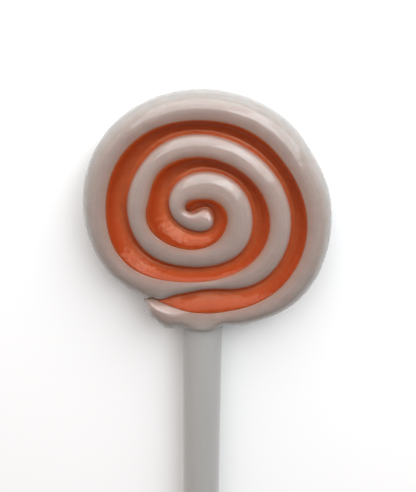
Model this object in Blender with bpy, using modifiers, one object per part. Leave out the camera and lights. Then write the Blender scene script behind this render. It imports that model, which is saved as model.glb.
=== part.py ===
"""Swirl lollipop, lying on its flat back.

A white rope and an orange rope of sugar are laid side by side and wound outwards from an
eye, clockwise as seen from above. The orange rope lies lower, so it runs as a groove between
the turns of the white one. The white rope's last turn makes the rim, and its end stands
proud beside the stick, which sits in a socket in that turn.

Frame: origin under the middle of the head, on the floor. +Z is up, -Y runs along the stick.
Lengths are millimetres until the last step. Windings are in degrees along the spiral:
0 points to -X, 90 to +Y, and each full turn adds 360.
"""

import math

import bmesh
import bpy

# Heights, from the floor up
METRES_PER_MM = 0.001
CROWN_Z = 9.6  # top of the white rope
JOIN_Z = 9.4  # where the orange rope's outer edge meets the white rope
CREASE_Z = 8.05  # where the orange rope's inner edge meets the turn inside it
VALLEY_Z = (7.9, 7.45)  # bottom of the orange groove, in its first turn and further out
WAIST_Z = 4.8  # the rim's widest line
WAIST_BAND = 0.3  # half the height of the upright band there
BACK_CREASE_Z = 0.9  # how far the back's creases rise off the floor

# Winding: where the ropes start and end, and the pivot the angles are measured about
TURN = 360.0
WINDING_STEP = 8.0
FINE_STEP = 3.0
FINE_FROM = 996.0  # finer steps where the ropes end, and on the rim there
RIM_FINE_FROM = 966.0
EYE = (-1.5, 1.18)
EYE_SHIFT = (0.9, -1.4)  # the first turn winds about a pivot this far off
SHIFT_UNTIL = 150.0
SHIFT_OVER = 200.0
ORANGE_TIP = 28.0  # the orange rope's rounded inner tip
ORANGE_TIP_BASE = 52.0  # where that tip has reached full width
ORANGE_TIP_RADIUS = 3.15
ORANGE_TIP_ANGLES = (15.0, 30.0, 50.0, 70.0)
WHITE_TIP = 190.0  # the inner edge turns about the white rope's tip here
WHITE_TIP_START = 198.0
WHITE_TIP_OVER = 60.0
TIP_PASSED = 395.0  # by here the white rope has rounded the orange rope's tip
PAIRED_FROM = 420.0  # from here both edges of the white rope are at the same winding
TAPER_FROM = 1006.0  # the orange rope's outer end narrows from here
ORANGE_END = 1017.5
ORANGE_END_OVER = 24.0
CREASE_FROM = 1018.5  # past the orange rope's end the white turns meet in a crease
NOTCH = 1021.8  # where that crease reaches the rim
NOTCH_RADIUS = 19.7
SINK_FROM = 1012.0  # from here to the notch the crease sinks
SINK_DEPTH = 1.0
WHITE_END = 1021.5
WHITE_END_OVER = 8.0
WHITE_END_STEPS = (6.0, 4.0, 2.5, 1.2, 0.4, 0.0)

# Edges: radius at winding 0, growth a turn, ovalness and its direction, then the places
# where the ropes were pressed out of the even spiral: (winding, height, half width)
OUTER_EDGE = (2.5, 6.2, 0.55, 31.0)
OUTER_SWELLS = (
    (46, 1.0, 28),
    (214, -2.15, 65),
    (347, 0.95, 46),
    (378, -0.95, 22),
    (605, -0.55, 35),
    (686, 2.45, 34),
    (841, 0.9, 27),
    (973, -0.25, 12),
)
INNER_EDGE = (-2.1, 7.1, 0.35, 34.0)
INNER_SWELLS = (
    (-15, 5.0, 47),
    (70, 2.5, 80),
    (204, -0.4, 47),
    (495, 0.8, 54),
    (583, 0.5, 30),
    (683, 1.25, 35),
    (759, -0.55, 26),
    (984, -2.62, 25),
    (1036, 2.2, 24),
)
RIM_EDGE = (9.35, 5.45, 0.3, 12.0)
RIM_SWELLS = (
    (681, 1.1, 28),
    (874, -0.5, 15),
    (944.2, 1.52, 28),
    (964, -0.46, 13),
    (977.9, -0.87, 5.3),
    (992.8, -1.08, 13.5),
    (1005.2, 0.94, 3.5),
    (1024.5, -4.11, 9.4),
)

# Section of the ropes. Shares are of the rope's width, from its inner edge.
HALF_GAP = 0.15  # each rope stays this far off the line it shares with its neighbour
EDGE_STEP = 0.5  # the edge's direction is read this far before and behind
FULL_WIDTH = 4.0  # a white rope at least this wide has its full crown
NARROW_POWER = 0.5
TIP_CROWN_AT = 0.48  # at the inner tip the crown is near the middle
CROWN_AT = 0.3  # the crown lies near the inner edge, so the rope leans outwards
JOIN_SLOPE = 1.65  # how steeply the white rope leaves the orange one inside it
INNER_STEPS = 5  # points up to the crown, down to the outer edge and on to the back
OUTER_STEPS = 5
BACK_STEPS = 2
ROUND = 2.0  # power of a circular shoulder
BACK_ROUND = 0.22
RIM_BACK_ROUND = 0.45
BACK_EASE = 0.3
LIP_AT = 989.3  # over the stick the rim is blunter
LIP_WIDTH = 6.1
LIP_POWER = 6.3
GROOVE_FROM = 330.0  # the orange groove deepens and widens from here
GROOVE_OVER = 120.0
VALLEY_WIDTH = (0.35, 0.9)  # how far it lies from the inner edge, before and after that
VALLEY_SHARE = 0.3
VALLEY_SIDE = (0.45, 0.3)
VALLEY_EASE = 0.5  # from the groove up to the outer edge: 0 is a bulge, 1 an even S
ORANGE_STEPS = 5

# Stick
STICK_RADIUS = 3.75
STICK_X = -1.05
STICK_LEAN = 0.6  # degrees, its far end towards -X
STICK_Z = 4.8
STICK_TOP_Y = -19.05
STICK_END_Y = -106.65
STICK_EDGE = 0.35
STICK_EDGE_STEPS = 3
STICK_EDGE_ANGLE = 60.0  # only edges at least this sharp are eased
STICK_SIDES = 48
SOCKET_CLEARANCE = 0.3
SOCKET_Y = -18.75
CUTTER_LENGTH = 12.0


def ease(x):
    x = min(max(x, 0.0), 1.0)
    return x * x * (3.0 - 2.0 * x)


def mix(a, b, share):
    return a + (b - a) * share


def bell(x, at, width):
    return math.exp(-(((x - at) / width) ** 2))


def spiral_radius(winding, edge, swells):
    start, growth, oval, oval_at = edge
    turns = winding / TURN
    radius = start + growth * turns
    radius += oval * turns * math.cos(2.0 * math.radians(winding - oval_at))
    for at, height, width in swells:
        radius += height * bell(winding, at, width)
    return radius


def on_plan(winding, radius):
    """The point of the plan at this winding and radius."""
    shift = 1.0 - ease((winding - SHIFT_UNTIL) / SHIFT_OVER)
    turn = math.radians(winding)
    return (
        EYE[0] + EYE_SHIFT[0] * shift - radius * math.cos(turn),
        EYE[1] + EYE_SHIFT[1] * shift + radius * math.sin(turn),
    )


def crease_radius(winding):
    """Past the orange rope's end, the line where the white rope meets itself."""
    share = (winding - CREASE_FROM) / (NOTCH - CREASE_FROM)
    return mix(spiral_radius(CREASE_FROM, OUTER_EDGE, OUTER_SWELLS), NOTCH_RADIUS, share)


def outer_edge(winding):
    """The orange rope's outer edge, where the white rope of the same winding lies on it."""
    if winding > CREASE_FROM:
        return on_plan(winding, crease_radius(winding))
    return on_plan(winding, spiral_radius(winding, OUTER_EDGE, OUTER_SWELLS))


def inner_edge(winding):
    """The orange rope's inner edge, against the white rope a turn further in."""
    if winding > CREASE_FROM:
        return on_plan(winding, crease_radius(winding))
    outer = spiral_radius(winding, OUTER_EDGE, OUTER_SWELLS)
    inner = spiral_radius(winding, INNER_EDGE, INNER_SWELLS)
    taper = ease((winding - TAPER_FROM) / (CREASE_FROM - TAPER_FROM))
    return on_plan(winding, mix(inner, outer, taper))


def rim_edge(winding):
    return on_plan(winding, spiral_radius(winding, RIM_EDGE, RIM_SWELLS))


def tip_edge(angle):
    """The rounded inner tip of the orange rope.

    -90 is on its inner edge and 90 on its outer edge, both at ORANGE_TIP_BASE; 0 is its end.
    """
    turn = math.radians(angle)
    winding = mix(ORANGE_TIP_BASE, ORANGE_TIP, math.cos(turn))
    low = spiral_radius(ORANGE_TIP_BASE, INNER_EDGE, INNER_SWELLS)
    high = spiral_radius(ORANGE_TIP_BASE, OUTER_EDGE, OUTER_SWELLS)
    middle = mix((low + high) / 2.0, ORANGE_TIP_RADIUS, math.cos(turn))
    return on_plan(winding, middle + (high - low) / 2.0 * math.sin(turn))


def beside(edge, at, side):
    """The point of this edge at this winding, moved by half the gap to its left (1) or right (-1)."""
    behind = edge(at - EDGE_STEP)
    ahead = edge(at + EDGE_STEP)
    here = edge(at)
    length = math.dist(behind, ahead)
    reach = side * HALF_GAP / length
    return (here[0] - (ahead[1] - behind[1]) * reach, here[1] + (ahead[0] - behind[0]) * reach)


def white_inner(winding):
    """Inner edge of the white rope. Windings are those of its outer edge, one turn ahead."""
    tip_from = 2.0 * WHITE_TIP - ORANGE_TIP_BASE
    if winding < tip_from:
        return beside(inner_edge, 2.0 * WHITE_TIP - winding, -1)
    if winding < TIP_PASSED:
        share = (winding - tip_from) / (TIP_PASSED - tip_from)
        return beside(tip_edge, mix(-90.0, 90.0, share), 1)
    if winding < PAIRED_FROM:
        share = (winding - TIP_PASSED) / (PAIRED_FROM - TIP_PASSED)
        return beside(outer_edge, mix(ORANGE_TIP_BASE, PAIRED_FROM - TURN, share), 1)
    return beside(outer_edge, winding - TURN, 1)


def white_outer(winding):
    if winding < NOTCH:
        return beside(inner_edge, winding, -1)
    return rim_edge(winding - TURN)


def rounded(share, power):
    """Height, from 1 to 0, of a rounded shoulder at this share of its width."""
    return max(0.0, 1.0 - share**power) ** (1.0 / power)


def sink(winding):
    """How far the crease has sunk, on the way to the notch in the rim."""
    return SINK_DEPTH * ease((winding - SINK_FROM) / (NOTCH - SINK_FROM))


def white_section(winding, width):
    """(share of the width, height) round the white rope, from its inner edge over the top."""
    joined_from = 2.0 * WHITE_TIP - ORANGE_TIP_BASE
    joined = ease((winding - joined_from) / (PAIRED_FROM - joined_from))
    on_rim = ease((winding - NOTCH) / FINE_STEP)
    start = ease((winding - WHITE_TIP) / WHITE_TIP_OVER)
    to_end = (WHITE_END + TURN - winding) / WHITE_END_OVER
    end = rounded(1.0 - min(1.0, to_end), ROUND)
    crown = mix(JOIN_Z, CROWN_Z, min(1.0, width / FULL_WIDTH) ** NARROW_POWER)
    crown = mix(WAIST_Z + WAIST_BAND, mix(CREASE_Z, crown, start), end)
    inner_z = mix(CREASE_Z, JOIN_Z, joined) - sink(winding - TURN)
    inner_z = min(inner_z, crown)
    outer_z = mix(CREASE_Z - sink(winding), WAIST_Z + WAIST_BAND, on_rim)
    outer_z = min(outer_z, crown)
    back_z = mix(BACK_CREASE_Z, WAIST_Z - WAIST_BAND, on_rim)
    back_round = mix(BACK_ROUND, RIM_BACK_ROUND, on_rim)
    power = ROUND + LIP_POWER * bell(winding - TURN, LIP_AT, LIP_WIDTH)
    crown_at = mix(TIP_CROWN_AT, CROWN_AT, joined)
    points = []
    for step in range(INNER_STEPS):
        share = step / INNER_STEPS
        curve = JOIN_SLOPE * share + (3.0 - 2.0 * JOIN_SLOPE) * share**2
        curve += (JOIN_SLOPE - 2.0) * share**3
        curve = mix(rounded(1.0 - share, ROUND), curve, joined)
        points.append((crown_at * share, mix(inner_z, crown, curve)))
    for step in range(OUTER_STEPS + 1):
        share = math.sin(math.pi / 2.0 * step / OUTER_STEPS)
        points.append((mix(crown_at, 1.0, share), mix(outer_z, crown, rounded(share, power))))
    for step in range(BACK_STEPS + 1):
        share = math.cos(math.pi / 2.0 * step / BACK_STEPS)
        points.append((1.0 - back_round * (1.0 - share), back_z * (1.0 - rounded(share, ROUND))))
    points.append((BACK_ROUND, 0.0))
    points.append((BACK_ROUND * BACK_EASE, BACK_CREASE_Z * BACK_EASE))
    points.append((0.0, BACK_CREASE_Z))
    return points


def orange_section(winding, width, rise, sunk):
    """(share of the width, height) round the orange rope; rise lifts the groove at its tips."""
    grooved = ease((winding - GROOVE_FROM) / GROOVE_OVER)
    valley = min(mix(*VALLEY_WIDTH, grooved) / width, VALLEY_SHARE)
    crease_z = CREASE_Z - sunk
    valley_z = mix(mix(*VALLEY_Z, grooved), CREASE_Z, rise) - sunk
    join_z = mix(JOIN_Z, CREASE_Z, rise) - sunk
    side_at, side_rise = VALLEY_SIDE
    points = [(0.0, crease_z)]
    points.append((valley * side_at, mix(valley_z, crease_z, side_rise)))
    for step in range(ORANGE_STEPS + 1):
        share = step / ORANGE_STEPS
        curve = mix(1.0 - (1.0 - share) ** 2, ease(share), VALLEY_EASE * grooved)
        points.append((mix(valley, 1.0, share), mix(valley_z, join_z, curve)))
    points.append((1.0, BACK_CREASE_Z))
    points.append((1.0 - BACK_ROUND, 0.0))
    points.append((BACK_ROUND, 0.0))
    points.append((0.0, BACK_CREASE_Z))
    return points


def ring_of(inner, outer, section):
    return [(mix(inner[0], outer[0], u), mix(inner[1], outer[1], u), z) for u, z in section]


def steps_between(first, last, step):
    count = max(1, round((last - first) / step))
    return [mix(first, last, i / count) for i in range(count)]


def white_rings():
    windings = steps_between(WHITE_TIP_START, FINE_FROM, WINDING_STEP)
    windings += steps_between(FINE_FROM, NOTCH, FINE_STEP)
    windings += [NOTCH]
    windings += steps_between(NOTCH + FINE_STEP, RIM_FINE_FROM + TURN, WINDING_STEP)
    windings += steps_between(RIM_FINE_FROM + TURN, WHITE_END + TURN - WHITE_END_OVER, FINE_STEP)
    windings += [WHITE_END + TURN - before for before in WHITE_END_STEPS]
    rings = []
    for winding in windings:
        inner = white_inner(winding)
        outer = white_outer(winding)
        rings.append(ring_of(inner, outer, white_section(winding, math.dist(inner, outer))))
    return rings


def orange_rings():
    rings = []
    for angle in ORANGE_TIP_ANGLES:
        inner = beside(tip_edge, -angle, -1)
        outer = beside(tip_edge, angle, -1)
        rise = 1.0 - math.sin(math.radians(angle))
        section = orange_section(0.0, math.dist(inner, outer), rise, 0.0)
        rings.append(ring_of(inner, outer, section))
    windings = steps_between(ORANGE_TIP_BASE, FINE_FROM, WINDING_STEP)
    windings += steps_between(FINE_FROM, ORANGE_END, FINE_STEP) + [ORANGE_END]
    for winding in windings:
        inner = beside(inner_edge, winding, 1)
        outer = beside(outer_edge, winding, -1)
        rise = 1.0 - ease((ORANGE_END - winding) / ORANGE_END_OVER)
        section = orange_section(winding, math.dist(inner, outer), rise, sink(winding))
        rings.append(ring_of(inner, outer, section))
    return rings


def material_of(name, colour, roughness):
    material = bpy.data.materials.new(name)
    material.use_nodes = True
    shader = material.node_tree.nodes["Principled BSDF"]
    shader.inputs["Base Color"].default_value = (*colour, 1.0)
    shader.inputs["Roughness"].default_value = roughness
    return material


def lofted(name, rings, collection, material):
    """A closed solid through the rings, capped at both ends."""
    shape = bmesh.new()
    rows = []
    for ring in rings:
        rows.append([shape.verts.new([c * METRES_PER_MM for c in point]) for point in ring])
    count = len(rows[0])
    for near, far in zip(rows, rows[1:]):
        for i in range(count):
            j = (i + 1) % count
            shape.faces.new((near[i], near[j], far[j], far[i]))
    shape.faces.new(rows[0])
    shape.faces.new(rows[-1])
    bmesh.ops.recalc_face_normals(shape, faces=shape.faces)
    mesh = bpy.data.meshes.new(name)
    shape.to_mesh(mesh)
    shape.free()
    mesh.polygons.foreach_set("use_smooth", [True] * len(mesh.polygons))
    mesh.materials.append(material)
    obj = bpy.data.objects.new(name, mesh)
    collection.objects.link(obj)
    return obj


def rod(name, radius, near_y, far_y, collection):
    """A cylinder on the stick's axis."""
    shape = bmesh.new()
    bmesh.ops.create_cone(
        shape,
        cap_ends=True,
        segments=STICK_SIDES,
        radius1=radius * METRES_PER_MM,
        radius2=radius * METRES_PER_MM,
        depth=(near_y - far_y) * METRES_PER_MM,
    )
    mesh = bpy.data.meshes.new(name)
    shape.to_mesh(mesh)
    shape.free()
    obj = bpy.data.objects.new(name, mesh)
    lean = math.radians(STICK_LEAN)
    middle_y = (near_y + far_y) / 2.0
    middle_x = STICK_X + math.tan(lean) * (middle_y - STICK_TOP_Y)
    obj.location = [c * METRES_PER_MM for c in (middle_x, middle_y, STICK_Z)]
    obj.rotation_euler = (math.radians(90.0), 0.0, -lean)
    collection.objects.link(obj)
    return obj


for old in list(bpy.data.objects):
    bpy.data.objects.remove(old, do_unlink=True)

lollipop = bpy.data.collections.new("swirl_lollipop")
cutters = bpy.data.collections.new("cutters")
bpy.context.scene.collection.children.link(lollipop)
bpy.context.scene.collection.children.link(cutters)

white_sugar = material_of("white_sugar", (0.62, 0.52, 0.48), 0.3)
orange_sugar = material_of("orange_sugar", (0.45, 0.07, 0.02), 0.28)
stick_paper = material_of("stick_paper", (0.6, 0.58, 0.56), 0.5)

white_rope = lofted("white_rope", white_rings(), lollipop, white_sugar)
orange_rope = lofted("orange_rope", orange_rings(), lollipop, orange_sugar)

# The socket for the stick, in the rim
socket_radius = STICK_RADIUS + SOCKET_CLEARANCE
socket = rod("socket_cutter", socket_radius, SOCKET_Y, SOCKET_Y - CUTTER_LENGTH, cutters)
socket.hide_render = True
socket.display_type = "WIRE"
bore = white_rope.modifiers.new("socket", "BOOLEAN")
bore.operation = "DIFFERENCE"
bore.object = socket

# The stick, with its edges eased
stick = rod("stick", STICK_RADIUS, STICK_TOP_Y, STICK_END_Y, lollipop)
stick.data.materials.append(stick_paper)
stick.data.polygons.foreach_set("use_smooth", [len(p.vertices) == 4 for p in stick.data.polygons])
edge_round = stick.modifiers.new("edge", "BEVEL")
edge_round.width = STICK_EDGE * METRES_PER_MM
edge_round.segments = STICK_EDGE_STEPS
edge_round.limit_method = "ANGLE"
edge_round.angle_limit = math.radians(STICK_EDGE_ANGLE)
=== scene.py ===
import math

import bmesh
import bpy
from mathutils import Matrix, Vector


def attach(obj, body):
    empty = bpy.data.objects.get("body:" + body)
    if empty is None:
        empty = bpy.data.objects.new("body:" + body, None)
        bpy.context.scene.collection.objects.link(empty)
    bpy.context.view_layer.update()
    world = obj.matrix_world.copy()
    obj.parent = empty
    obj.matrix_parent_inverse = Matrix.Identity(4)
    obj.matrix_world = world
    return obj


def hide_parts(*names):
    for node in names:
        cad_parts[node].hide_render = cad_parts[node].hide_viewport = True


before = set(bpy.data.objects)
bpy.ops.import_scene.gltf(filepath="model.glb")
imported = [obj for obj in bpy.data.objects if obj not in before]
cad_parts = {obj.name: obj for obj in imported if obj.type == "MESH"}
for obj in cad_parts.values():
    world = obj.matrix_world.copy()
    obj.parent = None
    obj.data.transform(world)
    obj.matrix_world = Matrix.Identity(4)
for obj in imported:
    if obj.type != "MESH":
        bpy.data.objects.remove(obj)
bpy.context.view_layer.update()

# White rope.
# A rope of pulled boiled sugar, opaque and glossy, wound outwards from its blunt tip in the
# eye. It stands higher than the orange rope, and its last turn makes the rim and lies round
# the stick. Lengths are in millimetres until the mesh is made.

MM = 0.001
TURN = 360.0
EYE = (-1.5, 1.18)
EYE_SHIFT = (0.9, -1.4)
SHIFT_UNTIL = 150.0
SHIFT_OVER = 200.0

CROWN_Z = 9.6
JOIN_Z = 9.4
CREASE_Z = 8.05
WAIST_Z = 4.8
WAIST_BAND = 0.3
BACK_CREASE_Z = 0.9

ORANGE_TIP = 28.0
ORANGE_TIP_BASE = 52.0
ORANGE_TIP_RADIUS = 3.15
TAPER_FROM = 1006.0
ORANGE_END = 1017.5
ORANGE_END_OVER = 24.0
CREASE_FROM = 1018.5
NOTCH = 1021.8
NOTCH_RADIUS = 19.7
NOTCH_OVER = 3.0
SINK_FROM = 1012.0
SINK_DEPTH = 1.0

# Each edge of the orange rope, and the rim, is a spiral: its first radius, its growth a turn, its
# oval and the oval's angle. Its swells are (winding, height, width) in degrees and millimetres.
OUTER_EDGE = (2.5, 6.2, 0.55, 31.0)
OUTER_SWELLS = (
    (46, 1.0, 28),
    (214, -2.15, 65),
    (347, 0.95, 46),
    (378, -0.95, 22),
    (605, -0.55, 35),
    (686, 2.45, 34),
    (841, 0.9, 27),
    (973, -0.25, 12),
)
INNER_EDGE = (-2.1, 7.1, 0.35, 34.0)
INNER_SWELLS = (
    (-15, 5.0, 47),
    (70, 2.5, 80),
    (204, -0.4, 47),
    (495, 0.8, 54),
    (583, 0.5, 30),
    (683, 1.25, 35),
    (759, -0.55, 26),
    (984, -2.62, 25),
    (1036, 2.2, 24),
)


def ease(x):
    x = min(max(x, 0.0), 1.0)
    return x * x * (3.0 - 2.0 * x)


def mix(a, b, share):
    return a + (b - a) * share


def bell(x, at, width):
    return math.exp(-(((x - at) / width) ** 2))


def rounded(share, power=2.0):
    """Height, from 1 to 0, of a rounded shoulder at this share of its width."""
    return max(0.0, 1.0 - share**power) ** (1.0 / power)


def spiral_radius(winding, edge, swells):
    start, growth, oval, oval_at = edge
    turns = winding / TURN
    radius = start + growth * turns
    radius += oval * turns * math.cos(2.0 * math.radians(winding - oval_at))
    return radius + sum(height * bell(winding, at, width) for at, height, width in swells)


def on_plan(winding, radius):
    """The point of the plan at this winding and radius. 0 points to -X and 90 to +Y."""
    shift = 1.0 - ease((winding - SHIFT_UNTIL) / SHIFT_OVER)
    turn = math.radians(winding)
    return (
        EYE[0] + EYE_SHIFT[0] * shift - radius * math.cos(turn),
        EYE[1] + EYE_SHIFT[1] * shift + radius * math.sin(turn),
    )


def crease_radius(winding):
    """Past the orange rope's end, where the white rope lies against itself."""
    share = (winding - CREASE_FROM) / (NOTCH - CREASE_FROM)
    return mix(spiral_radius(CREASE_FROM, OUTER_EDGE, OUTER_SWELLS), NOTCH_RADIUS, share)


def orange_outside(winding):
    if winding > CREASE_FROM:
        return on_plan(winding, crease_radius(winding))
    return on_plan(winding, spiral_radius(winding, OUTER_EDGE, OUTER_SWELLS))


def orange_inside(winding):
    if winding > CREASE_FROM:
        return on_plan(winding, crease_radius(winding))
    outer = spiral_radius(winding, OUTER_EDGE, OUTER_SWELLS)
    inner = spiral_radius(winding, INNER_EDGE, INNER_SWELLS)
    taper = ease((winding - TAPER_FROM) / (CREASE_FROM - TAPER_FROM))
    return on_plan(winding, mix(inner, outer, taper))


def orange_tip(angle):
    """Round the orange rope's inner end, from its inside (-90) to its outside (90)."""
    turn = math.radians(angle)
    winding = mix(ORANGE_TIP_BASE, ORANGE_TIP, math.cos(turn))
    low = spiral_radius(ORANGE_TIP_BASE, INNER_EDGE, INNER_SWELLS)
    high = spiral_radius(ORANGE_TIP_BASE, OUTER_EDGE, OUTER_SWELLS)
    middle = mix((low + high) / 2.0, ORANGE_TIP_RADIUS, math.cos(turn))
    return on_plan(winding, middle + (high - low) / 2.0 * math.sin(turn))


def sink(winding):
    return SINK_DEPTH * ease((winding - SINK_FROM) / (NOTCH - SINK_FROM))


def run_out(winding):
    """From 0 to 1 where the orange rope's outer end runs out."""
    return 1.0 - ease((ORANGE_END - winding) / ORANGE_END_OVER)


WHITE_TIP = 190.0
WHITE_TIP_START = 198.0
WHITE_TIP_OVER = 60.0
TIP_PASSED = 395.0
PAIRED_FROM = 420.0
WHITE_END = 1021.5
WHITE_END_OVER = 8.0
RIM_EDGE = (9.28, 5.45, 0.3, 12.0)
RIM_SWELLS = (
    (681, 1.1, 28),
    (874, -0.5, 15),
    (944.2, 1.52, 28),
    (964, -0.46, 13),
    (977.9, -0.87, 5.3),
    (992.8, -1.08, 13.5),
    (1005.2, 0.94, 3.5),
    (1024.5, -4.11, 9.4),
)
FULL_WIDTH = 4.0
TIP_CROWN_AT = 0.48
CROWN_AT = 0.3
JOIN_SLOPE = 1.65
BACK_ROUND = 0.22
RIM_BACK_ROUND = 0.45
BACK_CURVE = 0.3
LIP_AT = 989.3
LIP_WIDTH = 6.1
LIP_POWER = 6.3
PRESSED_IN = 0.02  # neighbouring ropes reach this far into each other
RING_STEP = 2.5  # degrees of winding
SKIN_STEPS = (12, 14, 6)  # on the inner slope, on the outer shoulder and under it
END_STEPS = 12

RIM_FROM = 118.0  # the rope is on the rim from here on, counted along it from its inner tip
RIM_BLEND = 12.0
GRAIN_SCALE = 420.0
TONE_RANGE = (0.9, 1.1)
GLOSS_RANGE = (0.04, 0.08)
STREAK_SCALE = (0.09, 26.0, 1.0)  # along, round and off the rope
STREAK_DEPTH = 0.0002
SCATTER_PART = 0.7
SCATTER_REACH = 0.001
SCATTER_SHARES = (1.0, 0.45, 0.35)


def pressed(edge, at, side):
    """This edge's point, moved a little to its left (1) or right (-1)."""
    behind, here, ahead = edge(at - 0.5), edge(at), edge(at + 0.5)
    reach = side * PRESSED_IN / math.dist(behind, ahead)
    return (here[0] - (ahead[1] - behind[1]) * reach, here[1] + (ahead[0] - behind[0]) * reach)


def white_inside(winding):
    """Windings of the white rope are those of its outer edge, a turn ahead of its inner one."""
    tip_from = 2.0 * WHITE_TIP - ORANGE_TIP_BASE
    if winding < tip_from:
        return pressed(orange_inside, 2.0 * WHITE_TIP - winding, 1)
    if winding < TIP_PASSED:
        share = (winding - tip_from) / (TIP_PASSED - tip_from)
        return pressed(orange_tip, mix(-90.0, 90.0, share), -1)
    if winding < PAIRED_FROM:
        share = (winding - TIP_PASSED) / (PAIRED_FROM - TIP_PASSED)
        return pressed(orange_outside, mix(ORANGE_TIP_BASE, PAIRED_FROM - TURN, share), -1)
    return pressed(orange_outside, winding - TURN, -1)


def white_outside(winding):
    if winding < NOTCH:
        return pressed(orange_inside, winding, 1)
    return on_plan(winding - TURN, spiral_radius(winding - TURN, RIM_EDGE, RIM_SWELLS))


def white_section(winding, width):
    """(share of the width, height) round the white rope, from its inner edge over the top."""
    joined_from = 2.0 * WHITE_TIP - ORANGE_TIP_BASE
    joined = ease((winding - joined_from) / (PAIRED_FROM - joined_from))
    on_rim = ease((winding - NOTCH) / NOTCH_OVER)
    start = ease((winding - WHITE_TIP) / WHITE_TIP_OVER)
    to_end = (WHITE_END + TURN - winding) / WHITE_END_OVER
    end = rounded(1.0 - min(1.0, to_end))
    crown = mix(JOIN_Z, CROWN_Z, math.sqrt(min(1.0, width / FULL_WIDTH)))
    crown = mix(WAIST_Z + WAIST_BAND, mix(CREASE_Z, crown, start), end)
    joined_here = joined * (1.0 - run_out(winding - TURN))
    inner_z = min(mix(CREASE_Z, JOIN_Z, joined_here) - sink(winding - TURN), crown)
    outer_z = mix(CREASE_Z - sink(winding), WAIST_Z + WAIST_BAND, on_rim)
    outer_z = min(outer_z, crown)
    back_z = mix(BACK_CREASE_Z, WAIST_Z - WAIST_BAND, on_rim)
    back_round = mix(BACK_ROUND, RIM_BACK_ROUND, on_rim)
    power = 2.0 + LIP_POWER * bell(winding - TURN, LIP_AT, LIP_WIDTH)
    crown_at = mix(TIP_CROWN_AT, CROWN_AT, joined)
    points = []
    inner_steps, outer_steps, under_steps = SKIN_STEPS
    for step in range(inner_steps):
        share = step / inner_steps
        curve = JOIN_SLOPE * share + (3.0 - 2.0 * JOIN_SLOPE) * share**2
        curve += (JOIN_SLOPE - 2.0) * share**3
        curve = mix(rounded(1.0 - share), curve, joined)
        points.append((crown_at * share, mix(inner_z, crown, curve)))
    for step in range(outer_steps + 1):
        share = math.sin(math.pi / 2.0 * step / outer_steps)
        points.append((mix(crown_at, 1.0, share), mix(outer_z, crown, rounded(share, power))))
    for step in range(under_steps + 1):
        share = math.cos(math.pi / 2.0 * step / under_steps)
        points.append((1.0 - back_round * (1.0 - share), back_z * (1.0 - rounded(share))))
    points.append((BACK_ROUND, 0.0))
    points.append((BACK_ROUND * BACK_CURVE, BACK_CREASE_Z * BACK_CURVE))
    points.append((0.0, BACK_CREASE_Z))
    return points


def steps_between(first, last, step):
    count = max(1, round((last - first) / step))
    return [mix(first, last, i / count) for i in range(count)]


def ring_of(inner, outer, section):
    return [(mix(inner[0], outer[0], u), mix(inner[1], outer[1], u), z) for u, z in section]


def rope(name, rings, material):
    """A closed skin through the rings. Its UV map runs along (x) and round (y) the rope."""
    shape = bmesh.new()
    flow = shape.loops.layers.uv.new("flow")
    rows = [[shape.verts.new([c * MM for c in point]) for point in ring] for ring in rings]
    count = len(rows[0])
    along = [0.0]
    for near, far in zip(rings, rings[1:]):
        centre = [sum(p[k] for p in near) / count - sum(p[k] for p in far) / count for k in (0, 1)]
        along.append(along[-1] + math.hypot(*centre))
    for index in range(len(rows) - 1):
        near, far = rows[index], rows[index + 1]
        for i in range(count):
            j = (i + 1) % count
            face = shape.faces.new((near[i], near[j], far[j], far[i]))
            corners = ((index, i), (index, i + 1), (index + 1, i + 1), (index + 1, i))
            for loop, (row, step) in zip(face.loops, corners):
                loop[flow].uv = (along[row], step / count)
    for row in (rows[0], rows[-1]):
        shape.faces.new(row)
    bmesh.ops.recalc_face_normals(shape, faces=shape.faces)
    mesh = bpy.data.meshes.new(name)
    shape.to_mesh(mesh)
    shape.free()
    mesh.polygons.foreach_set("use_smooth", [True] * len(mesh.polygons))
    mesh.materials.append(material)
    piece = bpy.data.objects.new(name, mesh)
    bpy.context.scene.collection.objects.link(piece)
    return piece


def node(tree, kind, inputs=(), **settings):
    made = tree.nodes.new(kind)
    for key, value in settings.items():
        setattr(made, key, value)
    for key, value in inputs:
        if isinstance(value, bpy.types.NodeSocket):
            tree.links.new(value, made.inputs[key])
        else:
            made.inputs[key].default_value = value
    return made


def ramp(tree, place, stops):
    """Colours at places along a 0 to 1 scale."""
    made = node(tree, "ShaderNodeValToRGB", [("Fac", place)])
    marks = made.color_ramp.elements
    while len(marks) < len(stops):
        marks.new(1.0)
    for mark, (at, colour) in zip(marks, stops):
        mark.position = at
        mark.color = (*colour, 1.0)
    return made.outputs["Color"]


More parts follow.
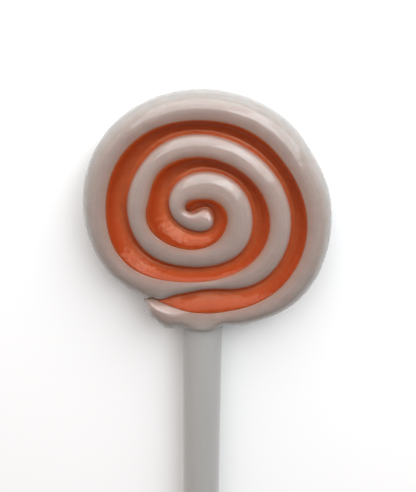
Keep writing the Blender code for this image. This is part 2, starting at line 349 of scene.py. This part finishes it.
def boiled_sugar(name, sheen, glaze, wave, tones_with_painted_shade, rim_tones_with_painted_light=()):
    """Glossy pulled sugar. across gives its colours at places round the rope, from the inside
    over the top, and rim_tones_with_painted_light those of the last turn; both hold painted shade
    and painted light, said where they are given. sheen and glaze are the strength and the tint of
    its reflections, and wave is the scale and the depth in m of its skin's unevenness."""
    material = bpy.data.materials.new(name)
    material.use_nodes = True
    tree = material.node_tree
    shader = tree.nodes["Principled BSDF"]
    place = node(tree, "ShaderNodeTexCoord").outputs["Object"]
    flow = node(tree, "ShaderNodeUVMap", uv_map="flow").outputs["UV"]
    turned = node(tree, "ShaderNodeSeparateXYZ", [("Vector", flow)])
    base = ramp(tree, turned.outputs["Y"], tones_with_painted_shade)
    if rim_tones_with_painted_light:
        along = turned.outputs["X"]
        on_rim = node(
            tree,
            "ShaderNodeMapRange",
            [("Value", along), ("From Min", RIM_FROM - RIM_BLEND), ("From Max", RIM_FROM)],
        ).outputs["Result"]
        rim = ramp(tree, turned.outputs["Y"], rim_tones_with_painted_light)
        base = node(
            tree, "ShaderNodeMix", [("Factor", on_rim), (6, base), (7, rim)], data_type="RGBA"
        ).outputs[2]
    stretched = node(
        tree, "ShaderNodeMapping", [("Vector", flow), ("Scale", STREAK_SCALE)]
    ).outputs["Vector"]
    cloud = node(
        tree,
        "ShaderNodeTexNoise",
        [("Vector", place), ("Scale", GRAIN_SCALE), ("Detail", 6.0), ("Roughness", 0.7)],
    ).outputs["Fac"]
    streak = node(
        tree,
        "ShaderNodeTexNoise",
        [("Vector", stretched), ("Scale", 1.0), ("Detail", 4.0), ("Roughness", 0.6)],
    ).outputs["Fac"]
    tone = node(
        tree, "ShaderNodeMath", [(0, cloud), (1, streak)], operation="ADD"
    ).outputs["Value"]
    low, high = TONE_RANGE
    value = node(
        tree,
        "ShaderNodeMapRange",
        [("Value", tone), ("From Min", 0.7), ("From Max", 1.3), ("To Min", low), ("To Max", high)],
    ).outputs["Result"]
    colour = node(
        tree, "ShaderNodeHueSaturation", [("Color", base), ("Value", value)]
    ).outputs["Color"]
    tree.links.new(colour, shader.inputs["Base Color"])
    shader.inputs["Specular IOR Level"].default_value = sheen
    shader.inputs["Specular Tint"].default_value = (*glaze, 1.0)
    shader.inputs["Subsurface Weight"].default_value = SCATTER_PART
    shader.inputs["Subsurface Radius"].default_value = SCATTER_SHARES
    shader.inputs["Subsurface Scale"].default_value = SCATTER_REACH
    gloss = node(
        tree,
        "ShaderNodeMapRange",
        [("Value", cloud), ("To Min", GLOSS_RANGE[0]), ("To Max", GLOSS_RANGE[1])],
    ).outputs["Result"]
    tree.links.new(gloss, shader.inputs["Roughness"])
    wave_scale, wave_depth = wave
    swell = node(
        tree,
        "ShaderNodeTexNoise",
        [("Vector", place), ("Scale", wave_scale), ("Detail", 1.0), ("Roughness", 0.4)],
    ).outputs["Fac"]
    uneven = node(
        tree, "ShaderNodeBump", [("Height", swell), ("Strength", 1.0), ("Distance", wave_depth)]
    ).outputs["Normal"]
    bump = node(
        tree,
        "ShaderNodeBump",
        [("Height", streak), ("Strength", 0.08), ("Distance", STREAK_DEPTH), ("Normal", uneven)],
    ).outputs["Normal"]
    tree.links.new(bump, shader.inputs["Normal"])
    return material


white_sugar = boiled_sugar(
    "white_sugar",
    sheen=0.62,
    glaze=(1.0, 1.0, 1.0),
    wave=(420.0, 0.00008),
    # Redder and darker towards both edges, where it meets the orange rope: painted shade and
    # painted orange bounce light in the creases.
    tones_with_painted_shade=(
        (0.0, (0.33, 0.16, 0.11)),
        (0.06, (0.33, 0.18, 0.14)),
        (0.13, (0.33, 0.22, 0.18)),
        (0.23, (0.33, 0.24, 0.21)),
        (0.41, (0.345, 0.272, 0.243)),
        (0.51, (0.35, 0.284, 0.254)),
        (0.56, (0.35, 0.276, 0.244)),
        (0.62, (0.36, 0.235, 0.195)),
    ),
    # On the last turn it is redder at the inner edge, painted orange bounce light in the crease,
    # and whiter towards its outer side, a painted reflection of the pale floor.
    rim_tones_with_painted_light=(
        (0.0, (0.33, 0.18, 0.14)),
        (0.06, (0.33, 0.218, 0.18)),
        (0.23, (0.328, 0.248, 0.22)),
        (0.35, (0.33, 0.265, 0.238)),
        (0.41, (0.332, 0.278, 0.252)),
        (0.475, (0.335, 0.3, 0.278)),
        (0.56, (0.338, 0.322, 0.305)),
        (0.62, (0.335, 0.33, 0.318)),
    ),
)
windings = steps_between(WHITE_TIP_START, WHITE_END + TURN - WHITE_END_OVER, RING_STEP)
for step in range(END_STEPS + 1):
    windings.append(WHITE_END + TURN - WHITE_END_OVER * (1.0 - step / END_STEPS) ** 2)
white_rings = []
for winding in windings:
    inner, outer = white_inside(winding), white_outside(winding)
    white_rings.append(ring_of(inner, outer, white_section(winding, math.dist(inner, outer))))
white_coil = rope("white_coil", white_rings, white_sugar)
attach(white_coil, "root")
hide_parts("white_rope")

# Orange rope.
# A rope of the same sugar, dyed, wound in with the white one. It lies lower, as a groove that
# is deepest beside the white turn inside it, and runs out to a point at the rim.

GROOVE_FROM = 330.0
GROOVE_OVER = 120.0
VALLEY_Z = (7.9, 7.45)
VALLEY_WIDTH = (0.35, 0.9)
VALLEY_SHARE = 0.3
VALLEY_EASE = 0.5
VALLEY_STEPS = 6
SLOPE_STEPS = 16
TIP_ANGLES = (6.0, 12.0, 20.0, 30.0, 40.0, 50.0, 60.0, 70.0, 80.0)


def orange_section(winding, width, rise, sunk):
    """(share of the width, height) round the orange rope; rise lifts the groove at its tips."""
    grooved = ease((winding - GROOVE_FROM) / GROOVE_OVER)
    valley = min(mix(*VALLEY_WIDTH, grooved) / width, VALLEY_SHARE)
    crease_z = CREASE_Z - sunk
    valley_z = mix(mix(*VALLEY_Z, grooved), CREASE_Z, rise) - sunk
    join_z = mix(JOIN_Z, CREASE_Z, rise) - sunk
    points = []
    for step in range(VALLEY_STEPS):
        share = step / VALLEY_STEPS
        points.append((valley * share, mix(valley_z, crease_z, (1.0 - share) ** 2)))
    for step in range(SLOPE_STEPS + 1):
        share = step / SLOPE_STEPS
        curve = mix(1.0 - (1.0 - share) ** 2, ease(share), VALLEY_EASE * grooved)
        points.append((mix(valley, 1.0, share), mix(valley_z, join_z, curve)))
    points.append((1.0, BACK_CREASE_Z))
    points.append((1.0 - BACK_ROUND, 0.0))
    points.append((BACK_ROUND, 0.0))
    points.append((0.0, BACK_CREASE_Z))
    return points


orange_sugar = boiled_sugar(
    "orange_sugar",
    sheen=0.4,
    glaze=(0.9, 0.62, 0.45),
    wave=(900.0, 0.00012),
    # Darker and deeper red towards its outer edge: painted shade under the white turn outside it.
    tones_with_painted_shade=(
        (0.0, (0.42, 0.1, 0.042)),
        (0.1, (0.4, 0.082, 0.028)),
        (0.31, (0.41, 0.088, 0.03)),
        (0.38, (0.4, 0.078, 0.025)),
        (0.44, (0.375, 0.066, 0.018)),
        (0.51, (0.345, 0.053, 0.012)),
        (0.64, (0.31, 0.038, 0.007)),
        (0.72, (0.3, 0.042, 0.008)),
        (0.78, (0.31, 0.06, 0.018)),
    ),
)
orange_rings = []
for angle in TIP_ANGLES:
    inner, outer = pressed(orange_tip, -angle, 1), pressed(orange_tip, angle, 1)
    rise = 1.0 - math.sin(math.radians(angle))
    section = orange_section(0.0, math.dist(inner, outer), rise, 0.0)
    orange_rings.append(ring_of(inner, outer, section))
for winding in steps_between(ORANGE_TIP_BASE, ORANGE_END, RING_STEP) + [ORANGE_END]:
    inner, outer = pressed(orange_inside, winding, -1), pressed(orange_outside, winding, 1)
    section = orange_section(winding, math.dist(inner, outer), run_out(winding), sink(winding))
    orange_rings.append(ring_of(inner, outer, section))
orange_coil = rope("orange_coil", orange_rings, orange_sugar)
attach(orange_coil, "root")
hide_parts("orange_rope")

# Stick.
# A straight stick of tightly rolled white paper, pushed into the rim while the sugar was warm.
# The solid itself is shown, with a paper skin that looks lighter where it is seen at a slant.

FIBRE_STRETCH = (1.0, 0.12, 1.0)  # the fibres run along Y
FIBRE_SCALE = 900.0
FIBRE_DEPTH = 0.0001
PAPER_GLOSS = (0.42, 0.55)
PAPER_DARK = (0.33, 0.33, 0.32, 1.0)
PAPER_LIGHT = (0.37, 0.37, 0.36, 1.0)


def rolled_paper():
    """Smooth calendered paper: fine fibres along the stick and a slightly uneven sheen."""
    material = bpy.data.materials.new("rolled_paper")
    material.use_nodes = True
    tree = material.node_tree
    shader = tree.nodes["Principled BSDF"]
    place = node(tree, "ShaderNodeTexCoord").outputs["Object"]
    drawn = node(
        tree, "ShaderNodeMapping", [("Vector", place), ("Scale", FIBRE_STRETCH)]
    ).outputs["Vector"]
    fibre = node(
        tree,
        "ShaderNodeTexNoise",
        [("Vector", drawn), ("Scale", FIBRE_SCALE), ("Detail", 4.0), ("Roughness", 0.6)],
    ).outputs["Fac"]
    colour = node(
        tree,
        "ShaderNodeMix",
        [("Factor", fibre), ("A", PAPER_DARK), ("B", PAPER_LIGHT)],
        data_type="RGBA",
    )
    tree.links.new(colour.outputs["Result"], shader.inputs["Base Color"])
    shader.inputs["Sheen Weight"].default_value = 0.6
    shader.inputs["Sheen Roughness"].default_value = 0.35
    gloss = node(
        tree,
        "ShaderNodeMapRange",
        [("Value", fibre), ("To Min", PAPER_GLOSS[0]), ("To Max", PAPER_GLOSS[1])],
    ).outputs["Result"]
    tree.links.new(gloss, shader.inputs["Roughness"])
    bump = node(
        tree,
        "ShaderNodeBump",
        [("Height", fibre), ("Strength", 0.15), ("Distance", FIBRE_DEPTH)],
    ).outputs["Normal"]
    tree.links.new(bump, shader.inputs["Normal"])
    return material


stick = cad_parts["stick"]
stick.data.materials.clear()
stick.data.materials.append(rolled_paper())

# Floor, light and camera.
# A plain pale floor, a wide soft light above and beyond the head, a narrower one to its right,
# and a weak, slightly warm fill. The camera looks down on the head from above its far edge.

FLOOR_REACH = 1.5
FLOOR_COLOUR = (0.9, 0.915, 0.92, 1)
LIGHT_TINT = (0.95, 1.0, 1.03)
FILL_TINT = (1.0, 0.84, 0.77, 1.0)
FILL_FROM = (-0.3, 0.7, -0.64)  # the fill is strongest from this side
FILL_LEVELS = (0.05, 1.38)
CAMERA_PLACE = (0.0, 0.03155, 0.1244)
CAMERA_TILT = -17.5

floor_mesh = bpy.data.meshes.new("floor")
corners = [(x * FLOOR_REACH, y * FLOOR_REACH, 0.0) for x, y in ((-1, -1), (1, -1), (1, 1), (-1, 1))]
floor_mesh.from_pydata(corners, [], [(0, 1, 2, 3)])
floor = bpy.data.objects.new("floor", floor_mesh)
bpy.context.scene.collection.objects.link(floor)
pale = bpy.data.materials.new("pale_floor")
pale.use_nodes = True
matt = pale.node_tree.nodes["Principled BSDF"]
matt.inputs["Base Color"].default_value = FLOOR_COLOUR
matt.inputs["Roughness"].default_value = 0.9
floor_mesh.materials.append(pale)


def soft_light(name, tilt, turn, distance, width, height, power):
    """A softbox that shines on the head from tilt off the vertical, turned from +Y to +X."""
    data = bpy.data.lights.new(name, "AREA")
    data.shape = "RECTANGLE"
    data.size = width
    data.size_y = height
    data.energy = power
    data.color = LIGHT_TINT
    lamp = bpy.data.objects.new(name, data)
    tilt, turn = math.radians(tilt), math.radians(turn)
    way = Vector((math.sin(tilt) * math.sin(turn), math.sin(tilt) * math.cos(turn), math.cos(tilt)))
    lamp.location = way * distance
    lamp.rotation_euler = way.to_track_quat("Z", "Y").to_euler()
    lamp.visible_camera = False
    bpy.context.scene.collection.objects.link(lamp)


soft_light("key", tilt=50.0, turn=50.0, distance=0.4, width=0.245, height=0.46, power=0.95)
soft_light("window", tilt=50.0, turn=2.0, distance=0.4, width=0.55, height=0.52, power=2.15)

world = bpy.data.worlds.new("studio")
world.use_nodes = True
room = world.node_tree
way = node(room, "ShaderNodeTexCoord").outputs["Generated"]
facing = node(
    room,
    "ShaderNodeVectorMath",
    [(0, way), (1, FILL_FROM)],
    operation="DOT_PRODUCT",
).outputs["Value"]
level = node(
    room,
    "ShaderNodeMapRange",
    [("Value", facing), ("From Min", -1.0), ("To Min", FILL_LEVELS[0]), ("To Max", FILL_LEVELS[1])],
).outputs["Result"]
room.links.new(level, room.nodes["Background"].inputs["Strength"])
room.nodes["Background"].inputs["Color"].default_value = FILL_TINT
bpy.context.scene.world = world
bpy.context.scene.view_settings.view_transform = "Standard"

lens = bpy.data.cameras.new("camera")
lens.sensor_fit = "VERTICAL"
lens.sensor_height = 36.0
lens.lens = 50.0
lens.clip_start = 0.005
camera = bpy.data.objects.new("camera", lens)
camera.location = CAMERA_PLACE
camera.rotation_euler = (math.radians(CAMERA_TILT), 0.0, 0.0)
bpy.context.scene.collection.objects.link(camera)
bpy.context.scene.camera = camera
